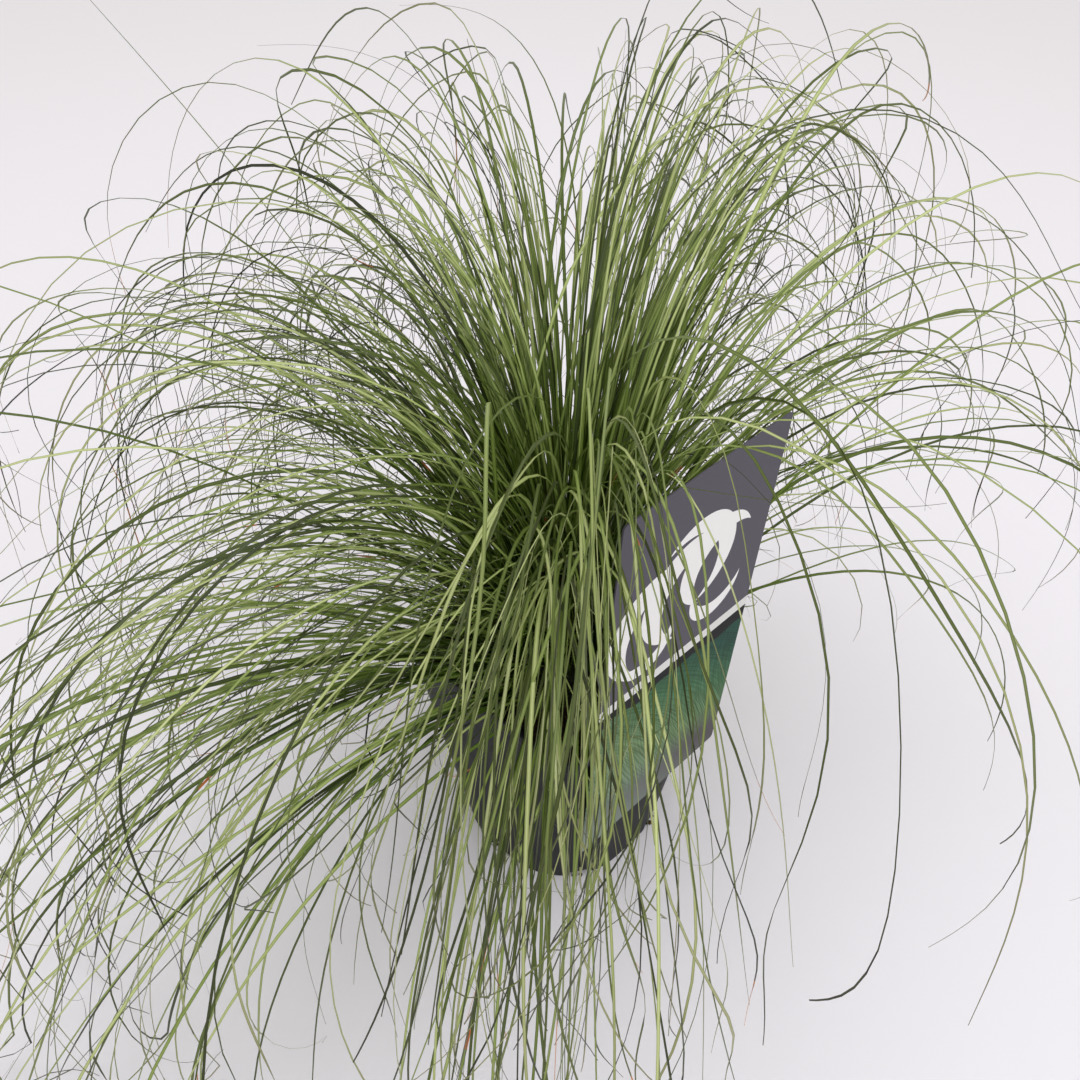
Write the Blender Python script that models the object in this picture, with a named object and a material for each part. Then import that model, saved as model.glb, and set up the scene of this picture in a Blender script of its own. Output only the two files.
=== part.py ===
"""Potted sedge: a fine-leaved hair sedge in a square plastic pot, with its picture card.

The plant stands on a table.  The origin is the middle of the pot's foot, +Z is up,
-Y is the front, and one corner of the pot points to the front.  All sizes are in metres.
"""
import math

import bmesh
import bpy
from mathutils import Matrix, Vector, noise

# Pot
POT_TOP = 0.130             # across the flats, outside, under the rim
POT_FOOT = 0.112            # across the flats at the table
POT_HEIGHT = 0.147
POT_WALL = 0.0013
POT_FLOOR = 0.0025
TOP_CORNER = 0.012          # corner radius at the rim
FOOT_CORNER = 0.047         # the foot is nearly round
CORNER_FALL = 1.3           # the corners tighten this fast from the foot up
RIM_OUT = 0.0016            # how far the rolled rim stands out
RIM_DEEP = 0.007
RIM_ROUND = 0.0008
POT_TURN = math.radians(45)
POT_LEVELS = 5              # rings between the foot and the rim
CORNER_STEPS = 6

# Drainage slots, cut through the bottom edge of the pot
SLOT_COUNT = 6
SLOT_FIRST = math.radians(220)
SLOT_WIDE = 0.015
SLOT_HIGH = 0.007
SLOT_DEEP = 0.012

# Compost
FIT = 0.0003                # air between pieces that touch
COMPOST_TOP = 0.134
COMPOST_LUMP = 0.0030       # height of the lumps
LUMP_START = 0.049          # they start this far from the axis, clear of the crown
LUMPS_PER_METRE = 90
TOP_ROUND = 0.5             # how round the rings of the top are
COMPOST_RINGS = 6

# Crown: a low dome of packed leaf bases on the compost
DOME_CENTRE = Vector((0.0, 0.0, 0.112))
DOME_RADIUS = 0.046
CROWN_SIDES = 24
CROWN_RINGS = 8
CROWN_RIDGE = 0.0007        # the leaf bases show as ridges

# Picture card, on the right front face of the pot
CARD_WIDE = 0.118
CARD_TALL = 0.250
CARD_THICK = 0.0009
CARD_LOW = 0.056            # height of its bottom edge
CARD_SHIFT = 0.009          # its middle stands right of the middle of that face
CARD_TURN = math.radians(45)
CARD_CORNER = 0.0025
TONGUE_WIDE = 0.018         # the tongue at its back hooks over the rim
TONGUE_DROP = 0.009
TONGUE_LIFT = 0.0012        # clear height over the rim

# Leaves.  Each row is one part of the mop of leaves, with its locks spread evenly
# over its range of headings: name, first and last heading (degrees, 0 is right, 90 is
# back), lean from upright at the crown (least and most, degrees), length, lean at the
# tip, stiffness (a high value bends late) and number of locks.
LEAF_ROWS = (
    ("back_right_tall", 40, 86, 6, 26, 0.53, 168, 1.60, 5),
    ("back_right_low", 37, 85, 32, 44, 0.41, 163, 1.30, 4),
    ("back_left_tall", 97, 140, 7, 22, 0.51, 168, 1.60, 4),
    ("back_left_low", 93, 135, 30, 46, 0.44, 163, 1.30, 4),
    ("left_tall", 144, 192, 12, 30, 0.48, 170, 1.35, 5),
    ("left_low", 139, 187, 46, 58, 0.38, 163, 1.20, 5),
    ("front_left_tall", 196, 240, 20, 36, 0.56, 174, 1.15, 6),
    ("front_left_low", 192, 236, 50, 62, 0.57, 171, 1.00, 6),
    ("front_tall", 252, 276, 18, 32, 0.48, 174, 1.05, 3),
    ("front_low", 248, 270, 50, 58, 0.47, 172, 0.95, 3),
    ("front_right", 283, 311, 5, 13, 0.58, 174, 1.15, 2),
    ("right_tall", 370, 402, 20, 34, 0.53, 165, 1.35, 4),
    ("right_low", 366, 392, 40, 50, 0.36, 155, 1.20, 2),
)
SPREAD_STEP = 0.618         # how the leans of neighbouring locks alternate
SPREAD_START = 0.25
ROOT_OUT = 16.0             # degrees: a lock is rooted further down the dome than it leans
ROOT_SHARE = 0.58
ROOT_GAP = 0.0009
LEAF_TURN = 8.0             # degrees that a lock swings sideways towards its tip, at most
LEAF_WAVES = 3              # neighbours swing together, this many times round the plant
LOCK_SIDES = 6
LOCK_STEPS = 11
LOCK_ROOT = 0.0024          # half width at the crown
LOCK_WIDE = 0.0060          # half width where the lock is fullest
LOCK_FULL = 0.35            # share of the length where it is at its widest
LOCK_FADE = 0.45            # share of the length where it starts to taper
LOCK_FLAT = 0.55            # thickness as a share of the width
LOCK_TIP = 0.0009
TABLE_CLEAR = 0.0006        # leaves that lie on the table
LANDING = 0.035             # height over which a falling leaf turns to lie flat
POT_EDGES = math.radians(35)    # edges sharper than this stay sharp
LOCK_EDGES = math.radians(60)

SLATE = (0.030, 0.033, 0.040, 1.0)
PEAT = (0.060, 0.036, 0.020, 1.0)
CARD_GREY = (0.098, 0.090, 0.105, 1.0)
BASE_GREEN = (0.105, 0.150, 0.045, 1.0)
LEAF_GREEN = (0.200, 0.290, 0.090, 1.0)


def clear_scene():
    """Start from an empty scene."""
    for thing in list(bpy.data.objects):
        bpy.data.objects.remove(thing, do_unlink=True)


def finish_material(name, colour, roughness):
    """A plain material with the colour and roughness of one finish."""
    material = bpy.data.materials.new(name)
    material.use_nodes = True
    shader = material.node_tree.nodes["Principled BSDF"]
    shader.inputs["Base Color"].default_value = colour
    shader.inputs["Roughness"].default_value = roughness
    shader.inputs["Metallic"].default_value = 0.0
    material.diffuse_color = colour
    return material


def add_object(name, bm, material, smooth_angle=None):
    """Turn a bmesh into a named object with one material."""
    bmesh.ops.recalc_face_normals(bm, faces=bm.faces)
    mesh = bpy.data.meshes.new(name)
    bm.to_mesh(mesh)
    bm.free()
    mesh.materials.append(material)
    if smooth_angle is not None:
        mesh.shade_smooth()
        mesh.set_sharp_from_angle(angle=smooth_angle)
    thing = bpy.data.objects.new(name, mesh)
    bpy.context.collection.objects.link(thing)
    return thing


def pot_half(z):
    """Half the outside width of the pot at a height."""
    return (POT_FOOT + (POT_TOP - POT_FOOT) * z / POT_HEIGHT) / 2


def pot_corner(z):
    """Corner radius at a height: nearly round at the foot, tighter from there up."""
    up = min(max(z / POT_HEIGHT, 0.0), 1.0)
    return TOP_CORNER + (FOOT_CORNER - TOP_CORNER) * (1 - up) ** CORNER_FALL


def square_ring(bm, half, corner, z):
    """One ring of corners: a square with round corners, turned as the pot is."""
    points = []
    for quarter in range(4):
        middle = Vector((half - corner, half - corner, 0))
        for step in range(CORNER_STEPS + 1):
            angle = math.radians(90) * step / CORNER_STEPS
            point = middle + corner * Vector((math.cos(angle), math.sin(angle), 0))
            points.append(Matrix.Rotation(math.radians(90) * quarter, 3, "Z") @ point)
    turned = Matrix.Translation((0, 0, z)) @ Matrix.Rotation(POT_TURN, 4, "Z")
    return [bm.verts.new(turned @ point) for point in points]


def skin_rings(bm, rings):
    """Skin a run of rings, each to the next, and close the first and the last."""
    for low, high in zip(rings, rings[1:]):
        for index in range(len(low)):
            bm.faces.new((low[index - 1], low[index], high[index], high[index - 1]))
    bm.faces.new(list(reversed(rings[0])))
    bm.faces.new(rings[-1])


def make_pot(material):
    """Outer wall, rolled rim, inner wall and floor, with slots through the foot."""
    bm = bmesh.new()
    outer = []
    for level in range(POT_LEVELS + 1):
        z = (POT_HEIGHT - RIM_DEEP) * level / POT_LEVELS
        outer.append(square_ring(bm, pot_half(z), pot_corner(z), z))
    low = POT_HEIGHT - RIM_DEEP
    top_half = pot_half(POT_HEIGHT)
    rim = [
        (top_half + RIM_OUT, TOP_CORNER + RIM_OUT, low + RIM_ROUND),
        (top_half + RIM_OUT, TOP_CORNER + RIM_OUT, POT_HEIGHT - RIM_ROUND),
        (top_half + RIM_OUT - RIM_ROUND, TOP_CORNER + RIM_OUT - RIM_ROUND, POT_HEIGHT),
        (top_half - POT_WALL, TOP_CORNER - POT_WALL, POT_HEIGHT),
    ]
    outer += [square_ring(bm, half, corner, z) for half, corner, z in rim]
    inner = []
    for level in range(POT_LEVELS - 1, -1, -1):
        z = POT_FLOOR + (low - POT_FLOOR) * level / (POT_LEVELS - 1)
        inner.append(square_ring(bm, pot_half(z) - POT_WALL, pot_corner(z) - POT_WALL, z))
    skin_rings(bm, outer + inner)
    pot = add_object("pot", bm, material, POT_EDGES)
    cut_slots(pot)
    return pot


def cut_slots(pot):
    """Drainage slots where the wall meets the foot, one Boolean cutter for each."""
    for index in range(SLOT_COUNT):
        heading = SLOT_FIRST + math.tau * index / SLOT_COUNT
        turned = Matrix.Rotation(heading, 4, "Z")
        bm = bmesh.new()
        bmesh.ops.create_cube(bm, size=1.0)
        bmesh.ops.scale(bm, vec=(SLOT_DEEP, SLOT_WIDE, 2 * SLOT_HIGH), verts=bm.verts)
        reach = foot_reach(heading)
        bmesh.ops.transform(bm, matrix=turned @ Matrix.Translation((reach, 0, 0)), verts=bm.verts)
        cutter = add_object(f"slot_cutter_{index + 1}", bm, pot.data.materials[0])
        cutter.hide_render = True
        cutter.display_type = "WIRE"
        cut = pot.modifiers.new(f"slot_{index + 1}", "BOOLEAN")
        cut.operation = "DIFFERENCE"
        cut.object = cutter


def foot_reach(heading):
    """Distance from the axis to the outside of the foot in one direction."""
    angle = (heading - POT_TURN) % math.radians(90)
    angle = min(angle, math.radians(90) - angle)
    flat = POT_FOOT / 2
    straight = flat - FOOT_CORNER
    if math.tan(angle) * flat <= straight:
        return flat / math.cos(angle)
    along = straight * (math.cos(angle) + math.sin(angle))
    across = straight * (math.cos(angle) - math.sin(angle))
    return along + math.sqrt(FOOT_CORNER ** 2 - across ** 2)


def make_compost(material):
    """The block of peat in the pot, with a lumpy top and a level seat for the crown."""
    bm = bmesh.new()
    bottom = POT_FLOOR + FIT
    gap = POT_WALL + FIT
    rings = []
    for level in range(POT_LEVELS):
        z = bottom + (COMPOST_TOP - bottom) * level / (POT_LEVELS - 1)
        rings.append(square_ring(bm, pot_half(z) - gap, pot_corner(z) - gap, z))
    top_half = pot_half(COMPOST_TOP) - gap
    for ring in range(1, COMPOST_RINGS):
        half = top_half * (1 - ring / COMPOST_RINGS)
        rings.append(square_ring(bm, half, half * TOP_ROUND, COMPOST_TOP))
    skin_rings(bm, rings)
    for vert in [vert for ring in rings[POT_LEVELS:] for vert in ring]:
        if vert.co.xy.length > LUMP_START:
            vert.co.z += COMPOST_LUMP * noise.noise(vert.co * LUMPS_PER_METRE)
    return add_object("compost", bm, material)


def make_crown(material):
    """A ridged dome of packed leaf bases, standing on the level part of the compost."""
    bm = bmesh.new()
    start = math.acos((COMPOST_TOP + FIT - DOME_CENTRE.z) / DOME_RADIUS)
    rings = []
    for ring in range(CROWN_RINGS):
        polar = start * (1 - ring / CROWN_RINGS)
        height = DOME_CENTRE.z + DOME_RADIUS * math.cos(polar)
        verts = []
        for side in range(CROWN_SIDES):
            heading = math.tau * side / CROWN_SIDES
            across = (DOME_RADIUS - CROWN_RIDGE * (side % 2)) * math.sin(polar)
            verts.append(bm.verts.new((across * math.cos(heading), across * math.sin(heading), height)))
        rings.append(verts)
    skin_rings(bm, rings)
    return add_object("crown", bm, material)


def make_card(material):
    """A thin flat card on the pot's face, with a tongue that hooks over the rim."""
    bm = bmesh.new()
    rim_top = POT_HEIGHT + TONGUE_LIFT
    half_tongue = TONGUE_WIDE / 2
    left = -CARD_WIDE / 2 + CARD_SHIFT
    right = CARD_WIDE / 2 + CARD_SHIFT
    across = (left, -half_tongue, half_tongue, right)
    up = (CARD_LOW, rim_top, rim_top + CARD_THICK, CARD_LOW + CARD_TALL)
    grid = [[bm.verts.new((0, u, z)) for u in across] for z in up]
    for low, high in zip(grid, grid[1:]):
        for i in range(len(across) - 1):
            bm.faces.new((low[i], low[i + 1], high[i + 1], high[i]))
    made = bmesh.ops.extrude_face_region(bm, geom=bm.faces[:] + bm.edges[:] + bm.verts[:])
    moved = [item for item in made["geom"] if isinstance(item, bmesh.types.BMVert)]
    bmesh.ops.translate(bm, vec=(CARD_THICK, 0, 0), verts=moved)
    round_card_corners(bm)
    add_tongue(bm)
    turned = Matrix.Rotation(-CARD_TURN, 4, "Z")
    slope = (POT_TOP - POT_FOOT) / 2 / POT_HEIGHT
    lean = Matrix.Identity(4)
    lean[0][2] = slope
    lean[0][3] = POT_TOP / 2 + RIM_OUT + FIT - slope * (POT_HEIGHT - RIM_DEEP)
    bmesh.ops.transform(bm, matrix=turned @ lean, verts=bm.verts)
    return add_object("card", bm, material)


def round_card_corners(bm):
    """Round the four outer corners of the card."""
    bm.normal_update()
    ends = (CARD_LOW, CARD_LOW + CARD_TALL)
    sides = (-CARD_WIDE / 2 + CARD_SHIFT, CARD_WIDE / 2 + CARD_SHIFT)

    def at_corner(vert):
        high = min(abs(vert.co.z - end) for end in ends)
        wide = min(abs(vert.co.y - side) for side in sides)
        return high < FIT and wide < FIT

    corners = [edge for edge in bm.edges if all(at_corner(vert) for vert in edge.verts)]
    bmesh.ops.bevel(bm, geom=corners, offset=CARD_CORNER, segments=3, profile=0.5,
                    affect="EDGES", offset_type="OFFSET", material=-1)


def add_tongue(bm):
    """Pull the tongue out of the back of the card, over the rim and down inside."""
    rim_top = POT_HEIGHT + TONGUE_LIFT

    def is_root(face):
        middle = face.calc_center_median()
        return middle.x < FIT and abs(middle.y) < FIT and rim_top < middle.z < rim_top + CARD_THICK

    root = [face for face in bm.faces if is_root(face)]
    over = RIM_OUT + POT_WALL + 3 * FIT + TONGUE_LIFT
    arm = pull_face(bm, root, (-over, 0, 0))
    end = pull_face(bm, arm, (-CARD_THICK, 0, 0))
    bm.normal_update()

    def is_under(face):
        middle = face.calc_center_median()
        return face.normal.z < -0.9 and middle.x < -over and abs(middle.y) < FIT

    under = [face for face in {f for vert in end[0].verts for f in vert.link_faces} if is_under(face)]
    pull_face(bm, under, (0, 0, -TONGUE_DROP))


def pull_face(bm, faces, move):
    """Extrude a face and move its copy; the new end face is returned."""
    made = bmesh.ops.extrude_face_region(bm, geom=faces)
    verts = [item for item in made["geom"] if isinstance(item, bmesh.types.BMVert)]
    bmesh.ops.translate(bm, vec=move, verts=verts)
    for face in faces:
        if face.is_valid:
            bm.faces.remove(face)
    ends = [item for item in made["geom"] if isinstance(item, bmesh.types.BMFace)]
    bm.normal_update()
    return ends


def lock_list():
    """Name, heading, lean, length, tip lean, stiffness and swing of every lock."""
    locks = []
    for name, first, last, least, most, length, tip, stiffness, count in LEAF_ROWS:
        for index in range(count):
            share = (index + 0.5) / count
            mix = (index * SPREAD_STEP + SPREAD_START) % 1.0
            heading = first + (last - first) * share
            lean = least + (most - least) * mix
            swing = LEAF_TURN * math.sin(math.radians(LEAF_WAVES * heading))
            locks.append((f"leaves_{name}_{index + 1}", heading, lean, length, tip, stiffness, swing))
    return locks


def root_point(heading, lean):
    """Where a lock leaves the dome, and the direction straight out of the dome."""
    polar = math.radians(ROOT_OUT + ROOT_SHARE * lean)
    turn = math.radians(heading)
    out = Vector((math.sin(polar) * math.cos(turn), math.sin(polar) * math.sin(turn), math.cos(polar)))
    return DOME_CENTRE + out * (DOME_RADIUS + ROOT_GAP), out


def leaf_path(root, heading, lean, length, tip, stiffness, swing, thick):
    """Points and headings along an arching leaf, which lies down where it meets the table."""
    step = length / LOCK_STEPS
    points = [root.copy()]
    turns = [math.radians(heading)]
    for index in range(LOCK_STEPS):
        share = (index + 0.5) / LOCK_STEPS
        droop = 0.5 - 0.5 * math.cos(math.pi * share ** stiffness)
        angle = math.radians(lean + (tip - lean) * droop)
        turn = math.radians(heading + swing * share * share)
        move = Vector((math.sin(angle) * math.cos(turn), math.sin(angle) * math.sin(turn), math.cos(angle)))
        above = points[-1].z - TABLE_CLEAR - thick(share)
        steepest = -above / max(LANDING, step)
        if move.z < steepest:
            move.z = steepest
            flat = math.sqrt(1 - move.z ** 2)
            move = Vector((math.cos(turn) * flat, math.sin(turn) * flat, move.z))
        points.append(points[-1] + move * step)
        turns.append(turn)
    return points, turns


def lock_half_width(share):
    """Half the width of a lock along its length: narrow root, full middle, fine tip."""
    swell = LOCK_ROOT + (LOCK_WIDE - LOCK_ROOT) * min(share / LOCK_FULL, 1.0)
    taper = 1.0 if share < LOCK_FADE else 1 - (share - LOCK_FADE) / (1 - LOCK_FADE)
    return LOCK_TIP + (swell - LOCK_TIP) * taper


def ring_frame(point, along, turn, wide, thick):
    """A matrix that puts a unit circle across the path at one point."""
    side = Vector((-math.sin(turn), math.cos(turn), 0))
    up = along.cross(side).normalized()
    side = up.cross(along).normalized()
    frame = Matrix((side * wide, up * thick, along.normalized())).transposed().to_4x4()
    frame.translation = point
    return frame


def make_lock(lock, material):
    """One tapering lock of leaves, skinned ring by ring along its path."""
    name, heading, lean, length, tip, stiffness, swing = lock
    root, out = root_point(heading, lean)
    points, turns = leaf_path(root, heading, lean, length, tip, stiffness, swing,
                              lambda share: lock_half_width(share) * LOCK_FLAT)
    frames = []
    for index, point in enumerate(points):
        share = index / LOCK_STEPS
        before = points[max(index - 1, 0)]
        after = points[min(index + 1, LOCK_STEPS)]
        along = out if index == 0 else (after - before)
        wide = lock_half_width(share)
        frames.append(ring_frame(point, along, turns[index], wide, max(wide * LOCK_FLAT, LOCK_TIP)))
    bm = bmesh.new()
    bmesh.ops.create_circle(bm, cap_ends=False, radius=1.0, segments=LOCK_SIDES, matrix=frames[0])
    loop = bm.edges[:]
    bmesh.ops.edgeloop_fill(bm, edges=loop)
    for before, after in zip(frames, frames[1:]):
        made = bmesh.ops.extrude_edge_only(bm, edges=loop)["geom"]
        loop = [item for item in made if isinstance(item, bmesh.types.BMEdge)]
        verts = [item for item in made if isinstance(item, bmesh.types.BMVert)]
        loop = [edge for edge in loop if all(vert in verts for vert in edge.verts)]
        bmesh.ops.transform(bm, matrix=after @ before.inverted(), verts=verts)
    bmesh.ops.edgeloop_fill(bm, edges=loop)
    return add_object(name, bm, material, LOCK_EDGES)


def main():
    """Build every piece."""
    clear_scene()
    make_pot(finish_material("slate plastic", SLATE, 0.42))
    make_compost(finish_material("peat compost", PEAT, 0.95))
    make_crown(finish_material("leaf bases", BASE_GREEN, 0.7))
    make_card(finish_material("printed plastic", CARD_GREY, 0.45))
    leaves = finish_material("sedge leaf", LEAF_GREEN, 0.5)
    for lock in lock_list():
        make_lock(lock, leaves)


main()
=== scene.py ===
"""Potted hair sedge: the finished look of the plant, its pot, its compost and its picture card."""
import random
from math import copysign, cos, exp, pi, radians, sin, sqrt, tan, tau

import bmesh
import bpy
import numpy as np
from bpy.props import FloatProperty, FloatVectorProperty, IntProperty, PointerProperty, StringProperty
from bpy.types import Operator, Panel, PropertyGroup
from mathutils import Matrix, Vector, noise


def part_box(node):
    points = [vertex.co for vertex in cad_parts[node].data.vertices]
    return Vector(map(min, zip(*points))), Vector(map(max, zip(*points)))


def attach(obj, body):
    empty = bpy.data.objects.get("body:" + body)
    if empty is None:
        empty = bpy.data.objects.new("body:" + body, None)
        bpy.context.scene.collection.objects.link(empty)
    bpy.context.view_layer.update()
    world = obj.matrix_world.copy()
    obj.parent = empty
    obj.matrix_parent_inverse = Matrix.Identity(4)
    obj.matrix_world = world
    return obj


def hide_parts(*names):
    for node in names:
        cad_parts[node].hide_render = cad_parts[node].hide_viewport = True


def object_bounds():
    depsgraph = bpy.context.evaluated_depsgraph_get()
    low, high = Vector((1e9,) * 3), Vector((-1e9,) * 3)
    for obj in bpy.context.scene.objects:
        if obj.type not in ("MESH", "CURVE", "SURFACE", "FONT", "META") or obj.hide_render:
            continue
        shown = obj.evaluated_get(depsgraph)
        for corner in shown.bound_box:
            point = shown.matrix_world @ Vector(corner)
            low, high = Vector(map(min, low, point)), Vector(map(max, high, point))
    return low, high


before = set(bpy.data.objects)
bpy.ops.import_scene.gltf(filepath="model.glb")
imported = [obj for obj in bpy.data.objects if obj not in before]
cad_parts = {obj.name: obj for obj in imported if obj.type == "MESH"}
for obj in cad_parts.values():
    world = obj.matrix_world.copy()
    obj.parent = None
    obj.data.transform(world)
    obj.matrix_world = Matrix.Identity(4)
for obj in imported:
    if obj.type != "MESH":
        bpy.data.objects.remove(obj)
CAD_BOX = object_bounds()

bl_info = {
    "name": "Potted hair sedge",
    "version": (1, 0, 0),
    "blender": (4, 5, 0),
    "location": "View3D > Sidebar > Sedge",
    "description": "A fine-leaved sedge in a square nursery pot, with a picture card",
    "category": "Add Mesh",
}

BODY = "root"
POT_LOW, POT_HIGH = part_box("pot")
CARD_LOW, CARD_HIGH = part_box("card")
FIT = 0.0003  # air between pieces that touch

# Pot, in metres
CORNER_STEPS = 14  # facets of each rounded corner
TOP_CORNER = 0.012  # corner radius at the rim and at the foot
FOOT_CORNER = 0.047
CORNER_FALL = 1.3  # the corners tighten this fast from the foot up
POT_FLOOR = 0.0025
FOOT_BEVEL = 0.0012  # bevel of the bottom edge
WALL_STEPS = 16  # rings of the wall, outside and inside
INSIDE_STEPS = 8
RIM_OUT = 0.0016  # how far the rolled rim stands out
RIM_DEEP = 0.007
RIM_ROUND = 0.0009
RIM_LIFT = 0.0002  # height of the step from the wall to the rim
MOUTH_ROUND = 0.0005
SLOT_COUNT = 6
SLOT_FIRST = radians(220)
SLOT_WIDE = 0.015
SLOT_HIGH = 0.007
SLOT_DEEP = 0.012
SLOT_ROUND = 0.0015

# Compost and crown, in metres
COMPOST_TOP = 0.134
COMPOST_GRID = 70
COMPOST_LEVELS = 8
# Its lumps and its crumbs: layer of the noise, waves a metre, height
COMPOST_NOISE = ((0.0, 70, 0.0030), (3.0, 260, 0.0014))
CRUMBS_ON_TOP = 420
CRUMBS_A_SLOT = 16
CRUMB_GAP = 0.0002  # air under the crumbs that lie on the table
DOME_HEIGHT = 0.112  # middle and radius of the dome of leaf bases
DOME_RADIUS = 0.046
CROWN_SINK = 0.004  # how far the dome goes into the compost
CROWN_RIDGE = 0.0016  # height of its ridges, and how fine they are
CROWN_RIDGES = 24

# Picture card, in metres
CARD_TURN = radians(45)
CARD_SHIFT = 0.009  # its middle stands right of the middle of the pot's face
CARD_FOOT = 0.056
CARD_CORNER = 0.0025
CARD_GRID = (24, 52)
TONGUE_WIDE = 0.018
TONGUE_DROP = 0.009
TONGUE_LIFT = 0.0012  # clear height over the rim
# Bands of the print, by height above the card's bottom edge in millimetres
FOOTER_TOP = 28.0
PICTURE_TOP = 108.0
BAND_TOP = 120.0
STRIP_TOP = 127.0
# White leaves of the print: an outer and an inner circle each, x, y and radius in mm
PRINTED_LEAVES = (
    ((34.0, 168.0, 34.0), (47.0, 161.0, 33.0)),
    ((56.0, 176.0, 33.0), (69.0, 169.0, 30.5)),
    ((77.0, 182.0, 27.0), (87.0, 173.0, 25.0)),
    ((60.0, 189.0, 30.0), (50.0, 183.0, 28.0)),
    ((82.0, 158.0, 20.0), (84.0, 168.0, 20.5)),
    ((30.0, 153.0, 20.0), (28.0, 162.0, 20.5)),
)

# The mop of leaves, row by row: name, first and last heading (degrees, 0 is right, 90
# is back), lean from upright at the crown (least and most), length in metres, lean at
# the tip, stiffness (a high value bends late), and how many blades each lock has.
LEAF_ROWS = (
    ("back_right_tall", 40, 86, 6, 26, 0.53, 168, 1.60, (24, 32, 36, 30, 20)),
    ("back_right_low", 37, 85, 32, 44, 0.41, 163, 1.30, (16, 20, 20, 14)),
    ("back_left_tall", 97, 140, 7, 22, 0.51, 168, 1.60, (18, 28, 34, 34)),
    ("back_left_low", 93, 135, 30, 46, 0.44, 163, 1.30, (14, 24, 28, 28)),
    ("left_tall", 144, 192, 12, 30, 0.48, 170, 1.35, (22, 20, 14, 8, 4)),
    ("left_low", 139, 187, 46, 58, 0.38, 163, 1.20, (7, 7, 7, 7, 6)),
    ("front_left_tall", 196, 240, 20, 36, 0.56, 174, 1.15, (3, 6, 12, 17, 19, 16)),
    ("front_left_low", 192, 236, 50, 62, 0.57, 171, 1.00, (5, 10, 14, 18, 18, 12)),
    ("front_tall", 252, 276, 18, 32, 0.48, 174, 1.05, (14, 14, 12)),
    ("front_low", 248, 270, 50, 58, 0.47, 172, 0.95, (6, 4, 3)),
    ("front_right", 283, 311, 5, 13, 0.58, 174, 1.15, (6, 4)),
    ("right_tall", 370, 402, 20, 34, 0.53, 165, 1.35, (9, 8, 8, 7)),
    ("right_low", 366, 392, 40, 50, 0.36, 155, 1.20, (3, 4)),
)
# Loose blades that belong to no lock: name, blades, first and last heading, lean
# (least and most), length (least and most), tip lean, stiffness, widest swing, and the
# side of the crown that they are rooted in (first and last heading).
STRAY_ROWS = (
    ("over_front", 34, 254, 282, 3, 20, 0.34, 0.56, 172, 1.10, 25, 0, 360),
    ("cross_front", 14, 238, 260, 3, 20, 0.38, 0.56, 172, 1.15, 20, -60, 60),
    ("cross_over", 8, 264, 278, 3, 16, 0.30, 0.50, 168, 1.05, 20, 120, 230),
    ("over_left", 12, 176, 224, 2, 22, 0.38, 0.56, 172, 1.25, 40, 0, 360),
    ("over_card", 34, 265, 280, 2, 13, 0.40, 0.56, 174, 1.20, 8, -60, 40),
    ("far_left", 8, 146, 180, 24, 42, 0.42, 0.50, 168, 1.60, 25, 90, 220),
    ("mid_left", 44, 138, 186, 18, 42, 0.28, 0.40, 168, 1.60, 25, 60, 240),
    ("far_right", 18, -8, 30, 24, 42, 0.38, 0.50, 160, 1.50, 25, 0, 360),
    ("high_left", 16, 136, 172, 8, 20, 0.40, 0.52, 168, 1.50, 25, 0, 360),
    ("high_right", 34, 38, 84, 4, 24, 0.44, 0.56, 168, 1.80, 25, 0, 360),
    ("low_left", 30, 172, 206, 42, 66, 0.18, 0.38, 165, 1.10, 30, 120, 260),
    ("inner_low", 130, -55, 232, 10, 75, 0.06, 0.16, 120, 0.90, 30, 0, 360),
    ("inner_high", 120, 0, 360, 3, 40, 0.14, 0.30, 150, 1.10, 40, 0, 360),
)
# Blades that stand out by themselves: heading, lean, length, tip lean, stiffness, swing
# and how far the tip curls sideways
SINGLE_BLADES = (
    (72, 10, 0.31, 12, 1.0, 0, 0),
    (80, 10, 0.42, 100, 1.8, 70, 0),
    (140, 16, 0.46, 140, 1.5, 10, 0),
    (150, 30, 0.40, 50, 1.2, 0, 0),
    (122, 6, 0.31, 20, 1.2, 10, 0),
    (104, 8, 0.40, 95, 1.8, 70, 0),
    (186, 34, 0.61, 146, 1.6, 0, 0),
    (202, 36, 0.64, 160, 1.5, 0, 0),
    (214, 40, 0.64, 168, 1.2, 0, 30),
    (266, 2, 0.33, 86, 1.0, 102, 0),
    (6, 28, 0.64, 178, 0.75, -45, -120),
    (9, 26, 0.66, 178, 0.75, -70, -110),
    (12, 34, 0.58, 176, 0.9, 0, -150),
)
SPREAD_STEP = 0.618  # how the leans of neighbouring locks alternate
ROOT_OUT = 16.0  # roots lie at this angle and this share of the lean
ROOT_SHARE = 0.58
LEAF_TURN = 8.0  # how far locks swing sideways, in degrees, and how often round
LEAF_WAVES = 3
LANDING = 0.035  # height over which a falling leaf turns to lie flat
FLOOR_GAP = 0.0012  # height of a blade's middle where it lies on the table
# Gaps in the mop: heading, how far blades are pushed aside and over what width, in degrees
PARTINGS = ((91.0, 5.5, 10.0), (245.0, 7.5, 10.0))
BLADES_A_TUFT = 5
TUFT_SPREAD = 0.45  # how far the blades of a tuft part, as a share of the scatter
LEAST_LEAN = 1.5
LONG_BLADES = 0.87  # share of the blades that are long
LONG_SHARE = (0.66, 1.04)  # length of the long and the short ones, as shares
SHORT_SHARE = (0.34, 0.66)
CURL_START = 0.66  # where along a blade the tip's curl begins and its span
CURL_SPAN = 0.34
LOOPING_TIPS = 0.25  # share of the tips that curl into a loop
BLADE_STEPS = 30
SHORT_BLADE = 0.32  # rows of blades no longer than this take fewer steps
SHORT_STEPS = 12
STEP_CROWDING = 1.35  # how much closer the steps lie towards the tip
BLADE_THICK = 0.42  # thickness of a blade as a share of its half width
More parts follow.
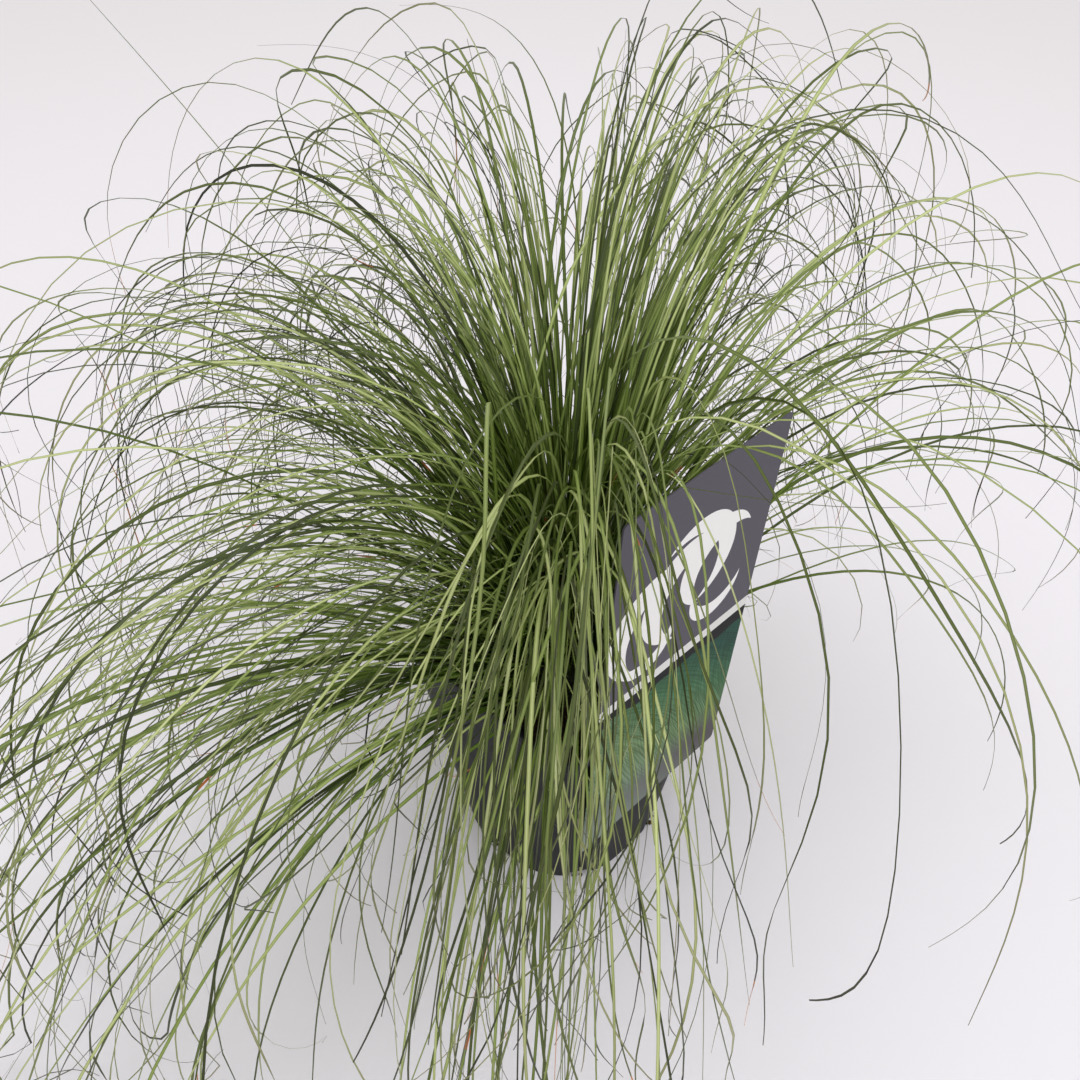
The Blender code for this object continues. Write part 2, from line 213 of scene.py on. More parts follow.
BLADE_SECTION = ((-1.0, 0.5), (0.0, -0.8), (1.0, 0.5))
PLAIN_WIDTH = 0.6  # width of a single blade as a share of the widest

# Where blades may not go, in metres: the card's back face and how far it leans out with
# height, the air round it, and the air round the pot's rim and wall
CARD_OUT = Vector((cos(CARD_TURN), -sin(CARD_TURN), 0))
CARD_SIDE = Vector((sin(CARD_TURN), cos(CARD_TURN), 0))
CARD_PLANE = 0.0583
CARD_SLOPE = 0.0612
CARD_CLEAR = 0.003
RIM_CLEAR = (0.003, 0.004, 0.002)
WALL_CLEAR = 0.001
# Room round the CAD box: a share of its size and a little more, of which blades use most
ROOM_SHARE = 0.03
ROOM_MORE = 0.010
ROOM = 0.95

# Lights: name, place, size in metres and power in watts
LIGHTS = (
    ("window", (-0.3, 0.3, 2.3), 1.4, 9.5),
    ("ceiling", (0.4, -0.6, 2.4), 2.2, 7.0),
    ("fill", (-1.3, -1.2, 0.7), 1.4, 4.5),
    ("front", (1.3, -1.3, 1.0), 1.5, 9.0),
)
LIGHT_COLOUR = "EEF0FF"
LIGHT_AIM = Vector((0, 0, 0.15))
ROOM_COLOUR = "F6F3F0"
ROOM_STRENGTH = 0.95
FLOOR_SIZE = 8.0
SENSOR = 36.0


def linear(code):
    """An sRGB hex colour as the linear colour that a shader takes."""
    channels = [int(code[i:i + 2], 16) / 255 for i in (0, 2, 4)]
    return tuple(c / 12.92 if c <= 0.04045 else ((c + 0.055) / 1.055) ** 2.4 for c in channels) + (1.0,)


def add_node(tree, kind, settings=None, inputs=None):
    """Add a shader node with its settings, and set or link its inputs."""
    node = tree.nodes.new("ShaderNode" + kind)
    for key, value in (settings or {}).items():
        setattr(node, key, value)
    for key, value in (inputs or {}).items():
        if isinstance(value, bpy.types.NodeSocket):
            tree.links.new(value, node.inputs[key])
        else:
            node.inputs[key].default_value = value
    return node


def maths(tree, operation, *values):
    """The outcome of one operation on some values."""
    return add_node(tree, "Math", {"operation": operation}, dict(enumerate(values))).outputs["Value"]


def fine_noise(tree, where, scale, detail):
    """Noise from 0 to 1, with its scale in waves for each unit of the vector."""
    return add_node(tree, "TexNoise",
                    inputs={"Vector": where, "Scale": scale, "Detail": detail}).outputs["Fac"]


def roughen(tree, shader, height, strength, distance):
    """Raise the surface by a value, as fine grain."""
    bump = add_node(tree, "Bump",
                    inputs={"Height": height, "Strength": strength, "Distance": distance})
    tree.links.new(bump.outputs["Normal"], shader.inputs["Normal"])


def new_material(name, roughness, specular=0.5):
    """An empty material with one Principled shader; its tree and shader are returned too."""
    material = bpy.data.materials.new(name)
    material.use_nodes = True
    tree = material.node_tree
    shader = tree.nodes["Principled BSDF"]
    shader.inputs["Roughness"].default_value = roughness
    shader.inputs["Specular IOR Level"].default_value = specular
    return material, tree, shader


def fibrous(name, roughness, specular, noise_of, stops, relief):
    """A rough material whose colour and relief both follow one fine noise."""
    material, tree, shader = new_material(name, roughness, specular)
    where = add_node(tree, "TexCoord").outputs["Object"]
    fibre = fine_noise(tree, where, *noise_of)
    tree.links.new(colour_ramp(tree, fibre, stops), shader.inputs["Base Color"])
    roughen(tree, shader, fibre, *relief)
    return material


def colour_ramp(tree, factor, stops):
    """A ramp of sRGB hex colours along a factor."""
    node = add_node(tree, "ValToRGB", inputs={"Fac": factor})
    ramp = node.color_ramp
    while len(ramp.elements) < len(stops):
        ramp.elements.new(0.5)
    for element, (place, code) in zip(ramp.elements, stops):
        element.position = place
        element.color = linear(code)
    return node.outputs["Color"]


def new_object(name, data):
    """An object for a mesh, a light or a camera, linked to the scene."""
    made = bpy.data.objects.new(name, data)
    bpy.context.collection.objects.link(made)
    return made


def add_piece(name, mesh, material, nodes):
    """Show a mesh as a piece that rides on the pot's body and stands for CAD nodes."""
    mesh.materials.append(material)
    piece = new_object(name, mesh)
    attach(piece, BODY)
    if nodes:
        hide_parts(*nodes)
    return piece


def plain_mesh(bm, name):
    """The mesh of a bmesh, which is used up."""
    mesh = bpy.data.meshes.new(name)
    bm.to_mesh(mesh)
    bm.free()
    return mesh


def mesh_from(bm, name, smooth_angle):
    """A smooth-shaded mesh with sharp edges past an angle and its normals outwards."""
    bmesh.ops.recalc_face_normals(bm, faces=bm.faces)
    mesh = plain_mesh(bm, name)
    mesh.shade_smooth()
    mesh.set_sharp_from_angle(angle=smooth_angle)
    return mesh


def next_ring(bm, edges):
    """Extrude a ring of edges: the new verts, and the new edges between them."""
    made = bmesh.ops.extrude_edge_only(bm, edges=edges)["geom"]
    verts = {item for item in made if isinstance(item, bmesh.types.BMVert)}
    ring = [item for item in made if isinstance(item, bmesh.types.BMEdge)
            and item.verts[0] in verts and item.verts[1] in verts]
    return verts, ring


def thicken(bm, geom, move, **how):
    """Extrude faces and move the new ones."""
    made = bmesh.ops.extrude_face_region(bm, geom=geom, **how)["geom"]
    verts = [item for item in made if isinstance(item, bmesh.types.BMVert)]
    bmesh.ops.translate(bm, vec=move, verts=verts)


class SedgePot(PropertyGroup):
    """Sizes and colour of the pot."""
    top: FloatProperty(name="Top width", description="Across the flats under the rim",
                       default=0.130, unit="LENGTH")
    foot: FloatProperty(name="Foot width", description="Across the flats at the table",
                        default=0.112, unit="LENGTH")
    height: FloatProperty(name="Height", description="From the table to the rim",
                          default=POT_HIGH[2] - POT_LOW[2], unit="LENGTH")
    wall: FloatProperty(name="Wall", description="Thickness of the plastic",
                        default=0.0013, unit="LENGTH")
    colour: StringProperty(name="Plastic", description="sRGB colour of the plastic", default="0F1113")


class SedgeCard(PropertyGroup):
    """Sizes and colours of the picture card."""
    wide: FloatProperty(name="Width", description="Side to side", default=0.118, unit="LENGTH")
    tall: FloatProperty(name="Height", description="Bottom to top",
                        default=0.250, unit="LENGTH")
    thick: FloatProperty(name="Thickness", description="Thickness of the sheet",
                         default=0.0009, unit="LENGTH")
    ground: StringProperty(name="Ground", description="sRGB colour of the header", default="524F57")
    picture: StringProperty(name="Picture", description="sRGB colour of the foliage print", default="7E9870")


class SedgeLeaves(PropertyGroup):
    """Make-up of the mop of leaves."""
    width: FloatProperty(name="Blade width", description="Widest part of a common blade",
                         default=0.0018, unit="LENGTH")
    scatter: FloatProperty(name="Scatter", description="How far blades stray from their lock, in degrees",
                           default=9.0)
    curl: FloatProperty(name="Curl", description="How far the tips curl sideways, in degrees", default=110.0)
    seed: IntProperty(name="Seed", description="Another seed gives another plant", default=7)
    green: StringProperty(name="Leaf", description="sRGB colour of a leaf at its middle", default="BECE82")


class SedgeStage(PropertyGroup):
    """Camera and floor."""
    camera_at: FloatVectorProperty(name="Camera", description="Place of the camera",
                                   default=(-0.0144, -0.4234, 0.5888), unit="LENGTH")
    pitch: FloatProperty(name="Pitch", description="How far the camera looks down, in degrees", default=41.0)
    lens: FloatProperty(name="Lens", description="Focal length in millimetres", default=36.0)
    floor: StringProperty(name="Floor", description="sRGB colour of the floor", default="E8E6E9")


def square_point(index, half, corner, z):
    """One of the points round a square with round corners, one corner to the front."""
    per_quarter = CORNER_STEPS + 1
    quarter, step = divmod(index, per_quarter)
    angle = radians(90) * step / CORNER_STEPS
    point = Vector((half - corner + corner * cos(angle), half - corner + corner * sin(angle), z))
    return Matrix.Rotation(radians(45 + 90 * quarter), 3, "Z") @ point


def pot_half(pot, z):
    """Half the outside width of the pot at a height."""
    return (pot.foot + (pot.top - pot.foot) * z / pot.height) / 2


def pot_corner(pot, z):
    """Corner radius at a height."""
    up = min(max(z / pot.height, 0.0), 1.0)
    return TOP_CORNER + (FOOT_CORNER - TOP_CORNER) * (1 - up) ** CORNER_FALL


def grow_rings(profile):
    """Grow a closed wall from one ring by extruding it through a profile of half, corner, z."""
    bm = bmesh.new()
    place = bm.verts.layers.int.new("place")
    count = 4 * (CORNER_STEPS + 1)
    first = []
    for index in range(count):
        vert = bm.verts.new(square_point(index, *profile[0]))
        vert[place] = index
        first.append(vert)
    bm.faces.new(list(reversed(first)))
    edges = bm.edges[:]
    for half, corner, z in profile[1:]:
        verts, edges = next_ring(bm, edges)
        for vert in verts:
            vert.co = square_point(vert[place], half, corner, z)
    bmesh.ops.edgeloop_fill(bm, edges=edges)
    return bm


def pot_profile(pot):
    """The pot's section as half, corner and height, from the foot over the rim to the floor."""
    low = pot.height - RIM_DEEP
    profile = [(pot_half(pot, 0) - FOOT_BEVEL, pot_corner(pot, 0) - FOOT_BEVEL, 0.0)]
    for step in range(WALL_STEPS + 1):
        z = FOOT_BEVEL + (low - FOOT_BEVEL) * step / WALL_STEPS
        profile.append((pot_half(pot, z), pot_corner(pot, z), z))
    top = pot_half(pot, pot.height)
    half, corner = top + RIM_OUT - RIM_ROUND, TOP_CORNER + RIM_OUT - RIM_ROUND
    profile.append((half, corner, low + RIM_LIFT))
    for degrees in (0, 30, 60, 90):
        angle = radians(degrees)
        out = RIM_ROUND * sin(angle)
        profile.append((half + out, corner + out, low + RIM_ROUND + RIM_LIFT - RIM_ROUND * cos(angle)))
    for degrees in (0, 22.5, 45, 67.5, 90):
        angle = radians(degrees)
        out = RIM_ROUND * cos(angle)
        profile.append((half + out, corner + out, pot.height - RIM_ROUND + RIM_ROUND * sin(angle)))
    half, corner = top - pot.wall, TOP_CORNER - pot.wall
    profile.append((half + MOUTH_ROUND, corner + MOUTH_ROUND, pot.height))
    profile.append((half, corner, pot.height - MOUTH_ROUND))
    for step in range(INSIDE_STEPS, -1, -1):
        z = POT_FLOOR + (low - POT_FLOOR) * step / INSIDE_STEPS
        profile.append((pot_half(pot, z) - pot.wall, pot_corner(pot, z) - pot.wall, z))
    return profile


class SEDGE_OT_pot(Operator):
    """Model the moulded nursery pot with its rolled rim and drainage slots"""
    bl_idname = "sedge.pot"
    bl_label = "Pot"

    def execute(self, context):
        pot = context.scene.sedge_pot
        mesh = mesh_from(grow_rings(pot_profile(pot)), "nursery_pot", radians(32))
        piece = add_piece("nursery_pot", mesh, moulded_plastic(pot.colour), ["pot"])
        cut_slots(piece, pot)
        return {"FINISHED"}


def cut_slots(piece, pot):
    """Cut the drainage slots through the bottom edge, and apply the cuts."""
    for index in range(SLOT_COUNT):
        heading = SLOT_FIRST + tau * index / SLOT_COUNT
        bm = bmesh.new()
        bmesh.ops.create_cube(bm, size=1.0)
        bmesh.ops.scale(bm, vec=(SLOT_DEEP, SLOT_WIDE, 2 * SLOT_HIGH), verts=bm.verts)
        upper = [edge for edge in bm.edges
                 if abs(edge.verts[0].co.x - edge.verts[1].co.x) > SLOT_DEEP / 2 and edge.verts[0].co.z > 0]
        bmesh.ops.bevel(bm, geom=upper, offset=SLOT_ROUND, segments=4, profile=0.5,
                        affect="EDGES", material=-1)
        place = Matrix.Rotation(heading, 4, "Z") @ Matrix.Translation((foot_reach(pot, heading), 0, 0))
        bmesh.ops.transform(bm, matrix=place, verts=bm.verts)
        cutter = new_object("slot", plain_mesh(bm, "slot"))
        cut = piece.modifiers.new("slot", "BOOLEAN")
        cut.operation = "DIFFERENCE"
        cut.object = cutter
        graph = bpy.context.evaluated_depsgraph_get()
        made = bpy.data.meshes.new_from_object(piece.evaluated_get(graph))
        piece.modifiers.clear()
        piece.data = made
        bpy.data.objects.remove(cutter, do_unlink=True)


def foot_reach(pot, heading):
    """Distance from the axis to the outside of the foot in one direction."""
    angle = (heading - radians(45)) % radians(90)
    angle = min(angle, radians(90) - angle)
    flat = pot.foot / 2
    straight = flat - FOOT_CORNER
    if tan(angle) * flat <= straight:
        return flat / cos(angle)
    along = straight * (cos(angle) + sin(angle))
    across = straight * (cos(angle) - sin(angle))
    return along + sqrt(FOOT_CORNER ** 2 - across ** 2)


def moulded_plastic(colour):
    """Recycled polypropylene, injection moulded: a satin skin with a fine grain and dusty patches."""
    material, tree, shader = new_material("moulded polypropylene", 0.45, 0.15)
    where = add_node(tree, "TexCoord").outputs["Object"]
    dust = fine_noise(tree, where, 45.0, 6.0)
    flow = add_node(tree, "Mapping", inputs={"Vector": where, "Scale": (160.0, 160.0, 8.0)})
    streak = fine_noise(tree, flow.outputs["Vector"], 1.0, 3.0)
    base = colour_ramp(tree, maths(tree, "MULTIPLY", dust, streak),
                       ((0.14, colour), (0.40, "181A1C"), (0.62, "313236")))
    tree.links.new(base, shader.inputs["Base Color"])
    rough = add_node(tree, "MapRange", inputs={"Value": dust, "To Min": 0.34, "To Max": 0.58})
    tree.links.new(rough.outputs["Result"], shader.inputs["Roughness"])
    roughen(tree, shader, fine_noise(tree, where, 1400.0, 2.0), 0.15, 0.0002)
    return material


def into_square(point, half, corner):
    """Pull a point inside a square with round corners, in the pot's own directions."""
    turned = Matrix.Rotation(radians(-45), 3, "Z") @ point
    x = min(max(turned.x, -half), half)
    y = min(max(turned.y, -half), half)
    core = half - corner
    over = Vector((max(abs(x) - core, 0), max(abs(y) - core, 0)))
    if over.length > corner:
        over = over.normalized() * corner
        x = copysign(min(abs(x), core + over.x), x)
        y = copysign(min(abs(y), core + over.y), y)
    return Matrix.Rotation(radians(45), 3, "Z") @ Vector((x, y, turned.z))


def compost_height(point):
    """Height of the top of the compost, with its lumps and crumbs."""
    height = COMPOST_TOP
    for layer, waves, high in COMPOST_NOISE:
        height += noise.noise(Vector((point.x, point.y, layer)) * waves) * high
    return height


class SEDGE_OT_compost(Operator):
    """Model the peat compost that fills the pot, and its loose crumbs"""
    bl_idname = "sedge.compost"
    bl_label = "Compost"

    def execute(self, context):
        pot = context.scene.sedge_pot
        gap = pot.wall + FIT
        half = pot_half(pot, COMPOST_TOP) - gap
        bm = bmesh.new()
        place = Matrix.Translation((0, 0, COMPOST_TOP)) @ Matrix.Rotation(radians(45), 4, "Z")
        bmesh.ops.create_grid(bm, x_segments=COMPOST_GRID, y_segments=COMPOST_GRID, size=half, matrix=place)
        edges = [edge for edge in bm.edges if edge.is_boundary]
        for vert in bm.verts:
            vert.co = into_square(vert.co, half, pot_corner(pot, COMPOST_TOP) - gap)
            vert.co.z = compost_height(vert.co)
        for level in range(1, COMPOST_LEVELS + 1):
            z = COMPOST_TOP + (POT_FLOOR + FIT - COMPOST_TOP) * level / COMPOST_LEVELS
            verts, edges = next_ring(bm, edges)
            for vert in verts:
                vert.co.z = z
                vert.co = into_square(vert.co, pot_half(pot, z) - gap, pot_corner(pot, z) - gap)
        bmesh.ops.edgeloop_fill(bm, edges=edges)
        bmesh.ops.remove_doubles(bm, verts=bm.verts, dist=0.00001)
        mesh = mesh_from(bm, "peat_compost", radians(50))
        material = peat()
        add_piece("peat_compost", mesh, material, ["compost"])
        add_piece("peat_crumbs", crumb_mesh(pot), material, [])
        return {"FINISHED"}


def crumb_mesh(pot):
    """Loose crumbs on top of the compost, in the drainage slots and by the foot of the pot."""
    rnd = random.Random(11)
    bm = bmesh.new()
    places = []
    half = pot_half(pot, COMPOST_TOP) - pot.wall - 0.002
    while len(places) < CRUMBS_ON_TOP:
        point = Vector((rnd.uniform(-1, 1) * half * 1.4, rnd.uniform(-1, 1) * half * 1.4, 0))
        inside = into_square(point, half, TOP_CORNER)
        if (inside - point).length > 0.0001 or point.length < DOME_RADIUS * 0.9:
            continue
        size = 0.0004 + 0.0016 * rnd.random() ** 2.5
        places.append((Vector((point.x, point.y, compost_height(point) + size * 0.4)), size))
    for index in range(SLOT_COUNT):
        heading = SLOT_FIRST + tau * index / SLOT_COUNT
        for _ in range(CRUMBS_A_SLOT):
            size = rnd.uniform(0.0007, 0.0017)
            reach = foot_reach(pot, heading) + rnd.uniform(-0.006, 0.002)
            side = rnd.uniform(-0.4, 0.4) * SLOT_WIDE
            turn = Matrix.Rotation(heading, 3, "Z")
            places.append((turn @ Vector((reach, side, size + rnd.random() * 0.003)), size))
    for point, size in places:
        made = bmesh.ops.create_icosphere(bm, subdivisions=1 if size < 0.0011 else 2, radius=size)["verts"]
        squash = Matrix.Diagonal((rnd.uniform(0.7, 1.4), rnd.uniform(0.7, 1.2), rnd.uniform(0.5, 0.9), 1))
        turn = Matrix.Rotation(rnd.uniform(0, tau), 4, "Z")
        turn = turn @ Matrix.Rotation(rnd.uniform(-0.5, 0.5), 4, "X")
        for vert in made:
            vert.co *= 1 + 0.5 * noise.noise(vert.co * 900 + point * 500)
        bmesh.ops.transform(bm, matrix=Matrix.Translation(point) @ turn @ squash, verts=made)
        lowest = min(vert.co.z for vert in made)
        if lowest < CRUMB_GAP:
            bmesh.ops.translate(bm, vec=(0, 0, CRUMB_GAP - lowest), verts=made)
    return mesh_from(bm, "peat_crumbs", radians(60))


def peat():
    """Moist peat compost: dark, and darker still as painted shade of the pot's interior; matt and fibrous,
    with paler strands and crumbs.
    """
    return fibrous("peat compost", 0.95, 0.2, (320.0, 8.0),
                   ((0.32, "140E0A"), (0.50, "281C14"), (0.62, "44301F"), (0.74, "6E543A")), (0.8, 0.0015))


def add_tongue(bm, card, pot):
    """The strip behind the card that goes over the rim and down inside the pot."""
    rim_top = pot.height + TONGUE_LIFT - CARD_FOOT - card.tall / 2
    over = RIM_OUT + pot.wall + 3 * FIT + TONGUE_LIFT
    near, far = -card.thick - over, -2 * card.thick - over
    profile = ((-card.thick / 2, 0), (near, 0), (near, -TONGUE_DROP), (far, -TONGUE_DROP),
               (far, card.thick), (-card.thick / 2, card.thick))
    left = -TONGUE_WIDE / 2 - CARD_SHIFT
    face = bm.faces.new([bm.verts.new((left, rim_top + up, out)) for out, up in profile])
    thicken(bm, [face], (TONGUE_WIDE, 0, 0), use_keep_orig=True)


class SEDGE_OT_card(Operator):
    """Model the printed picture card that hooks over the pot's rim"""
    bl_idname = "sedge.card"
    bl_label = "Picture card"

    def execute(self, context):
        card = context.scene.sedge_card
        pot = context.scene.sedge_pot
        bm = bmesh.new()
        bmesh.ops.create_grid(bm, x_segments=CARD_GRID[0], y_segments=CARD_GRID[1], size=0.5)
        bmesh.ops.scale(bm, vec=(card.wide, card.tall, 1), verts=bm.verts)
        corners = [vert for vert in bm.verts if len(vert.link_edges) == 2]
        bmesh.ops.bevel(bm, geom=corners, offset=CARD_CORNER, segments=5, profile=0.5,
                        affect="VERTICES", material=-1)
        layer = bm.loops.layers.uv.new("print")
        for face in bm.faces:
            for loop in face.loops:
                loop[layer].uv = (loop.vert.co.x / card.wide + 0.5, loop.vert.co.y / card.tall + 0.5)
        thicken(bm, bm.faces[:] + bm.edges[:] + bm.verts[:], (0, 0, -card.thick))
        add_tongue(bm, card, pot)
        slope = (pot.top - pot.foot) / 2 / pot.height
        stand = pot.top / 2 + RIM_OUT + FIT - slope * (pot.height - RIM_DEEP) + card.thick
        for vert in bm.verts:
            across = vert.co.x + CARD_SHIFT
            up = vert.co.y + card.tall / 2 + CARD_FOOT
            out = stand + slope * up + vert.co.z
            vert.co = Matrix.Rotation(-CARD_TURN, 3, "Z") @ Vector((out, across, up))
        mesh = mesh_from(bm, "plant_card", radians(40))
        add_piece("plant_card", mesh, printed_plastic(card), ["card"])
        return {"FINISHED"}


def mask(tree, value, low, high):
    """1 where a value lies between two limits, 0 elsewhere."""
    return maths(tree, "MULTIPLY", maths(tree, "GREATER_THAN", value, low),
                 maths(tree, "LESS_THAN", value, high))


def crescent(tree, point, outer, inner):
    """A curved leaf: inside one circle and outside another. Circles are x, y and radius in mm."""
    marks = []
    for (x, y, radius), test in ((outer, "LESS_THAN"), (inner, "GREATER_THAN")):
        far = add_node(tree, "VectorMath", {"operation": "DISTANCE"}, {0: point, 1: (x, y, 0.0)})
        marks.append(maths(tree, test, far.outputs["Value"], radius))
    return maths(tree, "MULTIPLY", *marks)


def lay_over(tree, under, over, factor=1.0, blend="MIX"):
    """One colour laid over another as far as a factor says. Either may be a hex colour."""
    under, over = (linear(colour) if isinstance(colour, str) else colour for colour in (under, over))
    return add_node(tree, "Mix", {"data_type": "RGBA", "blend_type": blend},
                    {0: factor, 6: under, 7: over}).outputs[2]


def multiply(tree, colour, *others):
    """Colours multiplied."""
    for other in others:
        colour = lay_over(tree, colour, other, blend="MULTIPLY")
    return colour


def streaks(tree, point, middle, bend, angle):
    """Fine curved strokes across the print: noise stretched along an arc."""
    parts = add_node(tree, "SeparateXYZ", inputs={"Vector": point})
    off = maths(tree, "SUBTRACT", parts.outputs["Y"], middle)
    bent = maths(tree, "MULTIPLY_ADD", maths(tree, "MULTIPLY", off, off), bend, parts.outputs["X"])
    joined = add_node(tree, "CombineXYZ", inputs={"X": bent, "Y": parts.outputs["Y"]})
    laid = add_node(tree, "Mapping",
                    inputs={"Vector": joined.outputs["Vector"], "Rotation": (0, 0, angle),
                            "Scale": (1.1, 0.03, 1.0)})
    return fine_noise(tree, laid.outputs["Vector"], 1.0, 4.0)


def printed_plastic(card):
    """Offset print on a polypropylene sheet: flat inks under a thin satin varnish."""
    material, tree, shader = new_material("printed polypropylene", 0.55, 0.12)
    uv = add_node(tree, "UVMap", {"uv_map": "print"}).outputs["UV"]
    point = add_node(tree, "VectorMath", {"operation": "MULTIPLY"},
                     {0: uv, 1: (card.wide * 1000, card.tall * 1000, 0.0)}).outputs["Vector"]
    up = add_node(tree, "SeparateXYZ", inputs={"Vector": point}).outputs["Y"]
    slant = add_node(tree, "VectorMath", {"operation": "DOT_PRODUCT"},
                     {0: point, 1: (0.0036, 0.0056, 0.0)}).outputs["Value"]
    ground = colour_ramp(tree, slant, ((0.10, "8A958A"), (0.32, "8EA48C"), (0.52, card.picture),
                                       (0.74, "4E7C5A"), (0.92, "22554A")))
    first = colour_ramp(tree, streaks(tree, point, 20.0, 0.008, 0.3),
                        ((0.34, "A8B4A4"), (0.50, "DCE0D4"), (0.66, "FFFFFF")))
    second = colour_ramp(tree, streaks(tree, point, 90.0, -0.006, -0.5),
                         ((0.38, "BCC8B4"), (0.64, "FFFFFF")))
    picture = multiply(tree, ground, first, second)
    footer = colour_ramp(tree, slant, ((0.05, "7E8A7E"), (0.22, "6A706A"), (0.45, "4E4A4D")))
    edge = maths(tree, "MULTIPLY_ADD", fine_noise(tree, point, 0.025, 1.0), 22.0, PICTURE_TOP - 8.0)
    fade = add_node(tree, "MapRange",
                    inputs={"Value": up, "From Min": FOOTER_TOP - 10.0, "From Max": FOOTER_TOP + 16.0})
    lower = lay_over(tree, footer, picture, fade.outputs["Result"])
    colour = lay_over(tree, card.ground, lower, mask(tree, up, -1.0, PICTURE_TOP + 6.0))
    colour = lay_over(tree, colour, "0C0E10", mask(tree, up, edge, BAND_TOP))
    colour = lay_over(tree, colour, "D2D2CD", mask(tree, up, BAND_TOP, STRIP_TOP))
    for outer, inner in PRINTED_LEAVES:
        colour = lay_over(tree, colour, "E4E3E0", crescent(tree, point, outer, inner))
    tree.links.new(colour, shader.inputs["Base Color"])
    return material


class SEDGE_OT_crown(Operator):
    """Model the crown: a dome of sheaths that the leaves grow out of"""
    bl_idname = "sedge.crown"
    bl_label = "Crown"

    def execute(self, context):
        bm = bmesh.new()
        bmesh.ops.create_uvsphere(bm, u_segments=64, v_segments=32, radius=DOME_RADIUS - 0.001,
                                  matrix=Matrix.Translation((0, 0, DOME_HEIGHT)))
        foot = COMPOST_TOP - CROWN_SINK
        cut = bmesh.ops.bisect_plane(bm, geom=bm.verts[:] + bm.edges[:] + bm.faces[:],
                                     plane_co=(0, 0, foot), plane_no=(0, 0, -1), clear_outer=True)
        bmesh.ops.edgeloop_fill(bm, edges=[e for e in cut["geom_cut"] if isinstance(e, bmesh.types.BMEdge)])
        for vert in bm.verts:
            if vert.co.z > foot + 0.001:
                out = (vert.co - Vector((0, 0, DOME_HEIGHT))).normalized()
                vert.co += out * CROWN_RIDGE * noise.noise(out * CROWN_RIDGES)
        mesh = mesh_from(bm, "leaf_bases", radians(60))
        add_piece("leaf_bases", mesh, sheath(), ["crown"])
        return {"FINISHED"}


def sheath():
    """Old leaf sheaths under the leaves: dry, matt and fibrous, dark brown to olive, darkened further as
    painted shade of the leaves over them.
    """
    return fibrous("leaf sheath", 0.75, 0.3, (240.0, 6.0),
                   ((0.34, "0E0E08"), (0.52, "1C200E"), (0.68, "3E4022")), (0.7, 0.001))


def blade_template(steps):
    """A straight blade of unit size: corners of the section in x and y, steps along z."""
    bm = bmesh.new()
    ring = [bm.verts.new((x, y, 0)) for x, y in BLADE_SECTION]
    bm.faces.new(ring)
    edges = bm.edges[:]
    for _ in range(steps):
        verts, edges = next_ring(bm, edges)
        bmesh.ops.translate(bm, vec=(0, 0, 1), verts=list(verts))
    bmesh.ops.edgeloop_fill(bm, edges=edges)
    bmesh.ops.recalc_face_normals(bm, faces=bm.faces)
    bm.verts.index_update()
    points = np.array([vert.co[:] for vert in bm.verts])
    faces = [[vert.index for vert in face.verts] for face in bm.faces]
    bm.free()
    return points, faces


def lock_list():
    """Every lock of the plant: name, blades, heading, lean, length, tip lean, stiffness and swing."""
    for name, first, last, least, most, length, tip, stiffness, counts in LEAF_ROWS:
        for index, blades in enumerate(counts):
            share = (index + 0.5) / len(counts)
            mix = (index * SPREAD_STEP + 0.25) % 1.0
            heading = first + (last - first) * share
            lean = least + (most - least) * mix
            swing = LEAF_TURN * sin(radians(LEAF_WAVES * heading))
            yield f"leaves_{name}_{index + 1}", blades, heading, lean, length, tip, stiffness, swing


def step_shares(steps):
    """How far along a blade each of its steps ends."""
    return 1 - (1 - np.linspace(0, 1, steps + 1)) ** STEP_CROWDING


def blade_path(root, steps, heading, lean, length, tip, stiffness, swing, curl, hook, sway):
    """Points along one blade, which arches over and lies down where it meets the table."""
    points = [np.array(root)]
    shares = step_shares(steps)
    for start, end in zip(shares[:-1], shares[1:]):
        share = (start + end) / 2
        step = (end - start) * length
        droop = 0.5 - 0.5 * cos(pi * share ** stiffness)
        late = max(0.0, (share - CURL_START) / CURL_SPAN)
        wave = sway[0] * sin(tau * (share * sway[1] + sway[2])) * share
        drift = sway[3] * sin(tau * (share * sway[4] + sway[5])) * share
        angle = radians(lean + (tip - lean) * droop + wave + hook * late ** 1.8)
        turn = radians(heading + swing * share * share + drift + curl * late ** 1.6)
        move = np.array((sin(angle) * cos(turn), sin(angle) * sin(turn),
                         cos(angle)))
        steepest = -(points[-1][2] - FLOOR_GAP) / max(LANDING, step)
        if move[2] < steepest:
            flat = sqrt(1 - steepest ** 2)
            move = np.array((cos(turn) * flat, sin(turn) * flat, steepest))
        points.append(points[-1] + move * step)
    return np.array(points)


def root_point(heading, lean, radius):
    """A point on or in the crown where a blade starts."""
    polar = radians(ROOT_OUT + ROOT_SHARE * lean)
    turn = radians(heading)
    return (sin(polar) * cos(turn) * radius, sin(polar) * sin(turn) * radius,
            DOME_HEIGHT + cos(polar) * radius)


